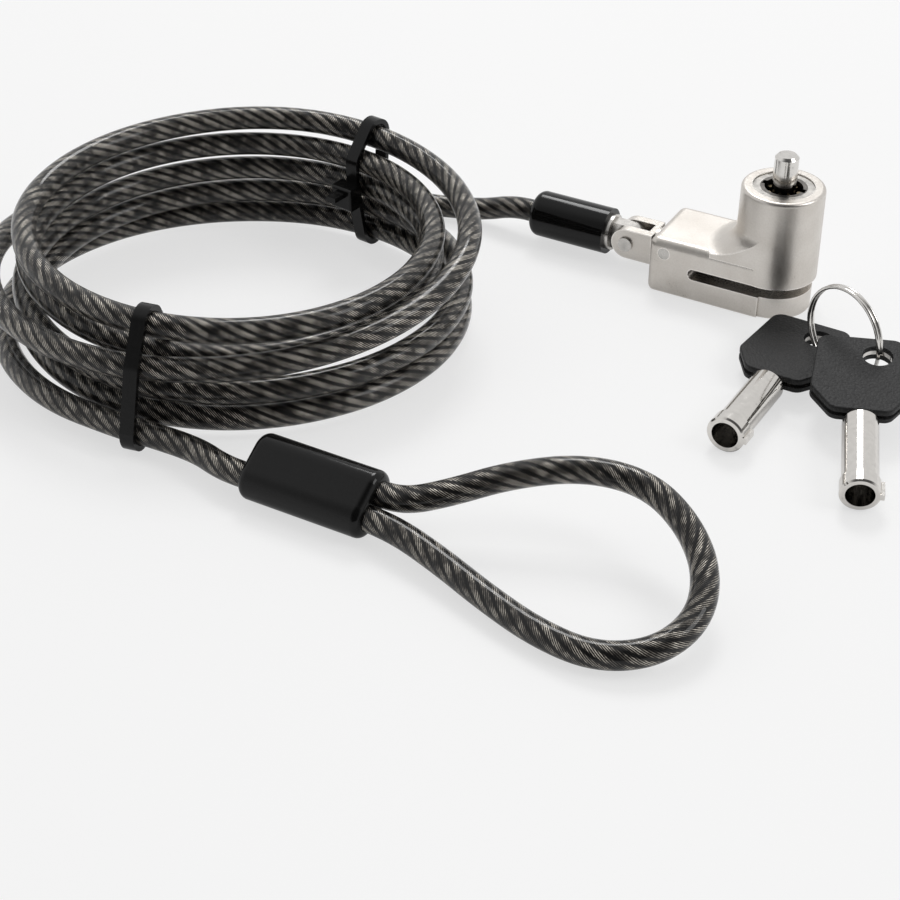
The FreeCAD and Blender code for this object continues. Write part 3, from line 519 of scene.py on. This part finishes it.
@dataclass
class Coil:
    """The tied coil: where each quarter turn lies, and the points that follow from it."""

    center: tuple[float, float] = (-84.2, -57.1)
    image_turn: float = 29.5
    base_height: float = 3.6
    level: float = 4.95
    points_per_turn: int = 18
    stations: list[tuple[float, float, float, float]] = field(default_factory=lambda: [
        (247.0, 43.6, 0.0, 0.0), (180.0, 44.2, 0.0, 0.0), (90.0, 37.4, 0.0, 0.0), (0.0, 41.6, 0.0, 0.0),
        (-90.0, 37.6, 0.0, 0.0), (-180.0, 39.4, 0.68, 0.0), (-270.0, 36.8, 1.03, 0.0),
        (-360.0, 41.8, 1.03, 0.0), (-450.0, 37.4, 1.03, 0.0), (-540.0, 39.4, 1.70, 0.0),
        (-630.0, 36.6, 2.08, 0.0), (-720.0, 36.2, 2.06, -3.0), (-810.0, 31.6, 1.7, 0.0),
        (-900.0, 38.4, 2.85, 0.0), (-990.0, 36.9, 3.12, 0.0), (-1080.0, 36.4, 3.12, 0.0),
        (-1170.0, 35.8, 3.3, 0.0), (-1260.0, 38.2, 3.92, 0.0), (-1350.0, 37.6, 4.18, 5.0),
        (-1440.0, 43.4, 3.2, 0.0), (-1530.0, 38.6, 2.12, 5.0), (-1620.0, 46.0, 2.2, 0.0),
        (-1708.0, 42.8, 0.5, 0.0)])

    def spot(self, turn: float, radius: float, level: float) -> Vector:
        """Find one point of the coil.

        Args:
            turn: its turn angle, in degrees.
            radius: how far it is from the centre, in millimetres.
            level: how high it is, in layers.

        Returns:
            The point, in millimetres.
        """
        angle = math.radians(turn + self.image_turn)
        return Vector((self.center[0] + radius * math.cos(angle), self.center[1] + radius * math.sin(angle),
                       self.base_height + self.level * level))

    def heading(self, turn: float) -> Vector:
        """Find the level direction of travel.

        Args:
            turn: the turn angle, in degrees.

        Returns:
            The direction.
        """
        angle = math.radians(turn + self.image_turn)
        return Vector((math.sin(angle), -math.cos(angle), 0.0))

    def climbs(self) -> list[float]:
        """Work out how fast the level changes at each station.

        Returns:
            The change in layers for each degree.
        """
        found = [0.0]
        for before, here, after in zip(self.stations, self.stations[1:], self.stations[2:]):
            rise_in = (here[2] - before[2]) / abs(here[0] - before[0])
            rise_out = (after[2] - here[2]) / abs(after[0] - here[0])
            found.append(0.5 * (rise_in + rise_out) if rise_in * rise_out > 0 else 0.0)
        return found + [0.0]

    def points(self) -> list[Vector]:
        """Place the spline's points along the turns.

        Returns:
            The points in millimetres, from the eye's end to the head's end.
        """
        step = 360.0 / self.points_per_turn
        outward = 1.0 / math.cos(math.radians(step / 2))
        climbs = self.climbs()
        found = [self.spot(*self.stations[0][:3])]
        for n, (start, end) in enumerate(zip(self.stations, self.stations[1:])):
            span = abs(end[0] - start[0])
            count = max(1, round(span / step))
            for k in range(1, count + 1):
                share = k / count
                radius = self.ease(share, start[1], end[1], start[3] * span / 90, end[3] * span / 90)
                level = self.ease(share, start[2], end[2], climbs[n] * span, climbs[n + 1] * span)
                found.append(self.spot(start[0] + (end[0] - start[0]) * share, radius * outward, level))
        return found

    def ease(self, share: float, start: float, end: float, leave: float, arrive: float) -> float:
        """Blend smoothly from one value to the next.

        Args:
            share: how far along, from 0 to 1.
            start: the first value.
            end: the last value.
            leave: the change for the whole span, at its start.
            arrive: the change for the whole span, at its end.

        Returns:
            The value there.
        """
        squared, cubed = share ** 2, share ** 3
        return ((2 * cubed - 3 * squared + 1) * start + (cubed - 2 * squared + share) * leave
                + (3 * squared - 2 * cubed) * end + (cubed - squared) * arrive)


@dataclass
class Cable:
    """The one cable, from the head's sleeve through the coil to the eye and back into its sleeve."""

    diameter: float = 4.5 * MM
    sides: int = 20
    exit: tuple[float, float, float] = (-51.1 * MM, 0.0, 5.5 * MM)
    head_points: list[tuple[float, float, float]] = field(default_factory=lambda: [
        (-38.6, 0.0, 5.5), (-48.6, 0.0, 5.5), (-56.1, 0.0, 5.5), (-63.2, -0.5, 3.0), (-72.0, -2.9, 2.6),
        (-81.2, -7.2, 3.9)])
    eye_points: list[tuple[float, float, float]] = field(default_factory=lambda: [
        (-63.6, -99.6, 3.6), (-57.0, -101.8, 3.79), (-50.0, -101.8, 3.79), (-35.4, -101.8, 3.79),
        (-24.5, -101.8, 3.79), (-14.0, -104.6, 3.1), (-3.6, -108.4, 2.5), (6.8, -111.6, 2.3),
        (16.6, -112.4, 2.45), (24.4, -108.0, 3.3), (27.6, -100.0, 5.0), (25.2, -91.6, 7.4),
        (18.8, -85.2, 10.0), (10.4, -81.8, 12.2), (0.2, -83.4, 12.6), (-9.8, -88.8, 11.0),
        (-18.0, -94.8, 8.2), (-24.5, -97.8, 6.11), (-31.0, -97.8, 6.11), (-47.5, -97.8, 6.11)])
    head_straight: float = 9.0
    eye_straight: float = 5.0
    coil: Coil = field(default_factory=Coil)

    def route(self) -> list[Vector]:
        """Join the leads, the coil and the eye into one route.

        Returns:
            The spline's points, in metres, from the head to the eye's end.
        """
        turns = self.coil.points()
        last, first = self.coil.stations[-1], self.coil.stations[0]
        after_head = turns[-1] + self.head_straight * self.coil.heading(last[0])
        to_eye = turns[0] - self.eye_straight * self.coil.heading(first[0])
        points = [Vector(p) for p in self.head_points] + [after_head] + turns[::-1]
        points += [to_eye] + [Vector(p) for p in self.eye_points]
        return [p * MM for p in points]

    def line(self) -> list[Vector]:
        """Draw the route's smooth spline.

        Returns:
            Close points on it, in metres.
        """
        data = bpy.data.curves.new("cable_line", "CURVE")
        data.dimensions = "3D"
        data.resolution_u = 8
        points = self.route()
        spline = data.splines.new("NURBS")
        spline.points.add(len(points) - 1)
        for knot, point in zip(spline.points, points):
            knot.co = (*point, 1.0)
        spline.order_u = 3
        spline.use_endpoint_u = True
        carrier = bpy.data.objects.new("cable_line", data)
        mesh = bpy.data.meshes.new_from_object(carrier)
        found = [vertex.co.copy() for vertex in mesh.vertices]
        bpy.data.meshes.remove(mesh)
        bpy.data.objects.remove(carrier)
        bpy.data.curves.remove(data)
        return found

    def stations(self, path: list[Vector]) -> list[Matrix]:
        """Set a frame at each point of the path that turns with it and never twists.

        Args:
            path: the points.

        Returns:
            One placing matrix for each point, its third axis along the path.
        """
        side = Vector((0.0, 1.0, 0.0))
        found = []
        for n, point in enumerate(path):
            along = (path[min(n + 1, len(path) - 1)] - path[max(n - 1, 0)]).normalized()
            side = (side - along * side.dot(along)).normalized()
            other = along.cross(side)
            turned = Matrix((side, other, along)).transposed().to_4x4()
            found.append(Matrix.Translation(point) @ turned)
        return found

    def tube(self, path: list[Vector], material: bpy.types.Material) -> bpy.types.Object:
        """Draw the round jacket along the path, with its length and turn as a UV map.

        Args:
            path: the points of the cable's axis.
            material: its finish.

        Returns:
            The cable's piece.
        """
        shape = bmesh.new()
        places = self.stations(path)
        bmesh.ops.create_circle(shape, cap_ends=False, segments=self.sides, radius=self.diameter / 2,
                                matrix=places[0])
        ring = list(shape.edges)
        rows = [list(shape.verts)]
        for before, here in zip(places, places[1:]):
            grown = bmesh.ops.extrude_edge_only(shape, edges=ring)["geom"]
            verts = [g for g in grown if isinstance(g, bmesh.types.BMVert)]
            inside = set(verts)
            ring = [g for g in grown if isinstance(g, bmesh.types.BMEdge)
                    and g.verts[0] in inside and g.verts[1] in inside]
            bmesh.ops.transform(shape, matrix=here @ before.inverted(), verts=verts)
            rows.append(verts)
        self.unwrap(shape, places, rows)
        close_ends(shape, self.sides)
        return from_bmesh(shape, "cable", material, 50.0)

    def unwrap(self, shape: bmesh.types.BMesh, places: list[Matrix],
               rows: list[list[bmesh.types.BMVert]]) -> None:
        """Write the cable's length, in metres, and its turn into a UV map.

        Args:
            shape: the tube.
            places: the frames along it.
            rows: the ring of points at each frame.
        """
        layer = shape.loops.layers.uv.new("along")
        length, spots = 0.0, {}
        for n, (place, row) in enumerate(zip(places, rows)):
            if n:
                length += (place.translation - places[n - 1].translation).length
            back = place.inverted()
            for vert in row:
                local = back @ vert.co
                spots[vert] = (length, math.atan2(local.y, local.x) / (2 * math.pi) + 0.5)
        for face in shape.faces:
            turns = [spots[loop.vert][1] for loop in face.loops]
            wraps = max(turns) - min(turns) > 0.5
            for loop, turn in zip(face.loops, turns):
                loop[layer].uv = (spots[loop.vert][0], turn + 1.0 if wraps and turn < 0.5 else turn)

    def build(self) -> bpy.types.Object:
        """Returns:
            The cable's piece.
        """
        path = self.line()
        piece = self.tube(path, SmokeJacket().make())
        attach(piece, "cable")
        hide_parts("cable_lead_head", "cable_coil", "cable_lead_eye", "cable_eye")
        return piece


@dataclass
class CableFittings:
    """The black sleeves, the crimped fittings and the ties on the cable."""

    def build(self) -> None:
        """Dress the sleeves, fittings and ties."""
        dress(BlackGloss("sleeve_black").make(), ["head_sleeve", "eye_sleeve"])
        dress(BlackGloss("tie_nylon", rough=0.16, grain=900.0).make(),
              ["front_tie_strap", "front_tie_head", "rear_tie_strap", "rear_tie_head"])
        dress(Plate("ferrule_metal", (0.66, 0.64, 0.61), 0.24).make(), ["cable_end_fitting", "eye_ferrule"])


@dataclass
class LockHead:
    """The cast head with its swivel, core, post and bolt."""

    def build(self) -> None:
        """Dress the head's pieces."""
        dress(CastNickel().make(), ["lock_housing", "swivel_stem"])
        dress(TurnedSteel("core_steel", (0.58, 0.56, 0.53)).make(), ["core_sleeve"])
        dress(TurnedSteel("rotor_dark", (0.16, 0.15, 0.14), 0.36).make(), ["rotor"])
        dress(TurnedSteel("pin_steel", (0.66, 0.64, 0.61), 0.24).make(),
              ["core_retaining_pin", "swivel_cross_pin", "clevis_rivet"])
        dress(TurnedSteel("bolt_steel", (0.5, 0.5, 0.49), 0.3).make(), ["lock_bolt"])
        # The brass tint is darkened to a painted shade, as the pins sit deep inside the keyway.
        dress(TurnedSteel("brass_pins", (0.26, 0.21, 0.13), 0.34).make(), ["tumbler_pins"])
        dress(Plate("polished_post", (0.78, 0.76, 0.73), 0.12).make(), ["push_post"])


@dataclass
class Spring:
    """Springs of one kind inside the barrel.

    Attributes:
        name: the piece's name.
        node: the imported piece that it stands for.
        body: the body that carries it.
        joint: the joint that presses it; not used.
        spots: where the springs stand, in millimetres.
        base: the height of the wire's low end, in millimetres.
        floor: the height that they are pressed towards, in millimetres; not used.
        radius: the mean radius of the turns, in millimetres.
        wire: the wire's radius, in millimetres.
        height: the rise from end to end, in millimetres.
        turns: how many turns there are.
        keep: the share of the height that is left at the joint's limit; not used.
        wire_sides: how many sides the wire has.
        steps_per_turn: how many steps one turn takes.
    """

    name: str
    node: str
    body: str
    joint: str
    spots: list[tuple[float, float]]
    base: float
    floor: float
    radius: float
    wire: float
    height: float
    turns: float
    keep: float
    wire_sides: int = 8
    steps_per_turn: int = 20

    def build(self, material: bpy.types.Material) -> None:
        """Wind the springs into one piece and attach it to its body.

        Args:
            material: its finish.
        """
        shape = bmesh.new()
        steps = round(self.turns * self.steps_per_turn)
        for x, y in self.spots:
            upright = Matrix.Rotation(math.radians(90.0), 4, "X")
            start = Matrix.Translation(Vector((x + self.radius, y, self.base)) * MM) @ upright
            made = bmesh.ops.create_circle(shape, cap_ends=False, segments=self.wire_sides,
                                           radius=self.wire * MM, matrix=start)["verts"]
            ring = made + list({edge for vert in made for edge in vert.link_edges})
            bmesh.ops.spin(shape, geom=ring, cent=Vector((x, y, self.base)) * MM, axis=(0.0, 0.0, 1.0),
                           angle=2 * math.pi * self.turns, steps=steps,
                           dvec=(0.0, 0.0, self.height * MM / steps), use_duplicate=False)
        close_ends(shape, self.wire_sides)
        piece = from_bmesh(shape, self.name, material, 60.0)
        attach(piece, self.body)
        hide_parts(self.node)
        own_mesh(piece)
        LOG.info("wound %s", self.name)


@dataclass
class Springs:
    """The post's return spring and the tumblers' springs."""

    tumblers: int = 7
    tumbler_ring: float = 2.93
    first_tumbler: float = 12.0

    def build(self) -> None:
        """Wind both kinds of spring."""
        steel = TurnedSteel("spring_steel", (0.45, 0.45, 0.46), 0.3).make()
        Spring("post_spring", "plunger_spring", "head", "post_push", [(0.0, 0.0)], base=8.875, floor=8.6,
               radius=3.375, wire=0.225, height=6.2, turns=3.5, keep=0.255).build(steel)
        angles = [math.radians(n * 360.0 / self.tumblers + self.first_tumbler) for n in range(self.tumblers)]
        spots = [(self.tumbler_ring * math.cos(a), self.tumbler_ring * math.sin(a)) for a in angles]
        Spring("pin_springs", "tumbler_springs", "rotor", "tumbler_press", spots, base=17.18, floor=17.05,
               radius=0.37, wire=0.13, height=1.72, turns=3.0, keep=0.39).build(steel)


@dataclass
class Keys:
    """The two tubular keys and the split ring that holds them."""

    ring_center: tuple[float, float, float] = (20.7, -19.6, 9.25)
    ring_turn: float = -26.4
    ring_radius: float = 8.6
    wire_radius: float = 0.36
    wire_sides: int = 12
    crossing: float = 40.0
    turn_gap: float = 1.04

    def split_ring(self, material: bpy.types.Material) -> bpy.types.Object:
        """Wind the ring: nearly two turns of wire, with one step across between them.

        Args:
            material: its finish.

        Returns:
            The ring's piece.
        """
        shape = bmesh.new()
        turn = math.radians(self.ring_turn)
        level = Vector((math.cos(turn), math.sin(turn), 0.0))
        axis = level.cross(Vector((0.0, 0.0, 1.0)))
        middle = Vector(self.ring_center) * MM
        gap = self.turn_gap * self.wire_radius * MM
        upright = Matrix((level, axis, level.cross(axis))).transposed().to_4x4()
        start = Matrix.Translation(middle + level * self.ring_radius * MM - axis * gap) @ upright
        bmesh.ops.create_circle(shape, cap_ends=False, segments=self.wire_sides,
                                radius=self.wire_radius * MM, matrix=start)
        geom = list(shape.verts) + list(shape.edges)
        for degrees, steps, shift in ((330.0, 44, 0.0), (self.crossing, 8, 2 * gap), (325.0, 44, 0.0)):
            turned = bmesh.ops.spin(shape, geom=geom, cent=middle, axis=axis, angle=math.radians(degrees),
                                    steps=steps, dvec=axis * (shift / steps), use_duplicate=False)
            geom = turned["geom_last"]
        close_ends(shape, self.wire_sides)
        return from_bmesh(shape, "split_ring", material, 60.0)

    def build(self) -> None:
        """Dress the keys and wind the ring."""
        dress(Plate("key_nickel").make(), ["key_a_tube", "key_b_tube", "key_a_blade", "key_b_blade"])
        dress(MottledCover().make(), ["key_a_cover_top", "key_a_cover_bottom", "key_b_cover_top",
                                      "key_b_cover_bottom"])
        ring = self.split_ring(Plate("ring_wire", (0.78, 0.76, 0.73), 0.12).make())
        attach(ring, "key_set")
        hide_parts("key_ring")
        LOG.info("wound the split ring")


@dataclass(frozen=True)
class Lamp:
    """One square soft lamp that looks at the object.

    Attributes:
        name: its name.
        place: where it hangs, in metres.
        size: its width, in metres.
        watts: its strength.
        aim: the point that it looks at, in metres.
    """

    name: str
    place: tuple[float, float, float]
    size: float
    watts: float
    aim: tuple[float, float, float] = (-0.03, -0.05, 0.0)

    def hang(self) -> None:
        """Hang the lamp in the scene."""
        data = bpy.data.lights.new(self.name, "AREA")
        data.size, data.energy = self.size, self.watts
        hung = bpy.data.objects.new(self.name, data)
        toward = Vector(self.aim) - Vector(self.place)
        turned = toward.to_track_quat("-Z", "Y").to_matrix().to_4x4()
        hung.matrix_world = Matrix.Translation(self.place) @ turned
        bpy.context.collection.objects.link(hung)


@dataclass
class Studio:
    """Camera, pale floor and plain soft light."""

    stand: tuple[float, float, float] = (98.5 * MM, -300.1 * MM, 185.0 * MM)
    heading: tuple[float, float] = (-0.4924, 0.8704)
    pitch: float = 35.5
    lens: float = 74.4
    floor_reach: float = 6.0
    floor_glow: float = 0.64
    mirror_share: float = 0.5
    sky_level: float = 0.66
    dark_level: float = 0.06
    dark_side: tuple[float, float, float] = (0.401, -0.709, 0.581)
    dark_reach: tuple[float, float] = (0.45, 0.88)
    lamps: tuple[Lamp, ...] = (Lamp("back_lamp", (-0.32, 0.58, 0.84), 0.36, 3.3),
                               Lamp("side_lamp", (0.75, 0.15, 0.75), 0.45, 2.2))

    def camera(self) -> None:
        """Set up the picture's camera."""
        data = bpy.data.cameras.new("camera")
        data.lens, data.sensor_width, data.clip_start = self.lens, 36.0, 0.01
        eye = bpy.data.objects.new("camera", data)
        down = math.radians(self.pitch)
        across, back = (part * math.cos(down) for part in self.heading)
        turned = Vector((across, back, -math.sin(down))).to_track_quat("-Z", "Y").to_matrix().to_4x4()
        eye.matrix_world = Matrix.Translation(self.stand) @ turned
        bpy.context.collection.objects.link(eye)
        bpy.context.scene.camera = eye

    def floor(self) -> None:
        """Lay the pale floor, which keeps the object's shadow."""
        shape = bmesh.new()
        bmesh.ops.create_grid(shape, x_segments=1, y_segments=1, size=self.floor_reach)
        recipe = Recipe("pale_floor")
        recipe.set(Base_Color=(0.97, 0.97, 0.97, 1.0), Roughness=0.55, Specular_IOR_Level=0.3)
        glow = recipe.node("ShaderNodeEmission", {"Color": WHITE, "Strength": 1.0})
        rays = recipe.node("ShaderNodeLightPath").outputs
        mirrored = recipe.sum("MAXIMUM", rays["Is Glossy Ray"], rays["Is Transmission Ray"])
        seen = recipe.sum("MAXIMUM", rays["Is Camera Ray"],
                          recipe.sum("MULTIPLY", mirrored, self.mirror_share))
        blend = recipe.node("ShaderNodeMixShader", {0: recipe.sum("MULTIPLY", seen, self.floor_glow),
                                                    1: recipe.shader.outputs[0], 2: glow.outputs[0]})
        recipe.feed(recipe.tree.nodes["Material Output"].inputs["Surface"], blend.outputs[0])
        from_bmesh(shape, "floor", recipe.material)

    def sky(self) -> None:
        """Light the scene from all round, white where the camera sees it, darker over the dark side."""
        world = bpy.data.worlds.new("studio")
        bpy.context.scene.world = world
        world.use_nodes = True
        sky = Nodes(world.node_tree)
        toward = sky.node("ShaderNodeTexCoord").outputs["Generated"]
        facing = sky.node("ShaderNodeVectorMath", {0: toward, 1: self.dark_side}, operation="DOT_PRODUCT")
        near, full = self.dark_reach
        level = sky.node("ShaderNodeMapRange", {"Value": facing.outputs["Value"], "From Min": near,
                                                "From Max": full, "To Min": self.sky_level,
                                                "To Max": self.dark_level},
                         interpolation_type="SMOOTHSTEP").outputs["Result"]
        soft = sky.tree.nodes["Background"]
        sky.feed(soft.inputs["Color"], WHITE)
        sky.feed(soft.inputs["Strength"], level)
        white = sky.node("ShaderNodeBackground", {"Color": WHITE, "Strength": 1.0})
        rays = sky.node("ShaderNodeLightPath").outputs
        mirrored = sky.sum("MULTIPLY", sky.sum("MULTIPLY", rays["Is Glossy Ray"], self.mirror_share), level)
        clear = sky.sum("MAXIMUM", rays["Is Camera Ray"], rays["Is Transmission Ray"])
        blend = sky.node("ShaderNodeMixShader", {0: sky.sum("MAXIMUM", clear, mirrored),
                                                 1: soft.outputs[0], 2: white.outputs[0]})
        sky.feed(sky.tree.nodes["World Output"].inputs["Surface"], blend.outputs[0])

    def build(self) -> None:
        """Set up the whole studio."""
        scene = bpy.context.scene
        scene.view_settings.view_transform = "Standard"
        self.camera()
        self.floor()
        self.sky()
        for lamp in self.lamps:
            lamp.hang()
        LOG.info("set up the studio")


def main() -> None:
    """Build the studio and every sub-assembly in order."""
    logging.basicConfig(level=logging.INFO, format="%(message)s")
    Studio().build()
    Cable().build()
    CableFittings().build()
    LockHead().build()
    Springs().build()
    Keys().build()


if __name__ == "__main__":
    main()
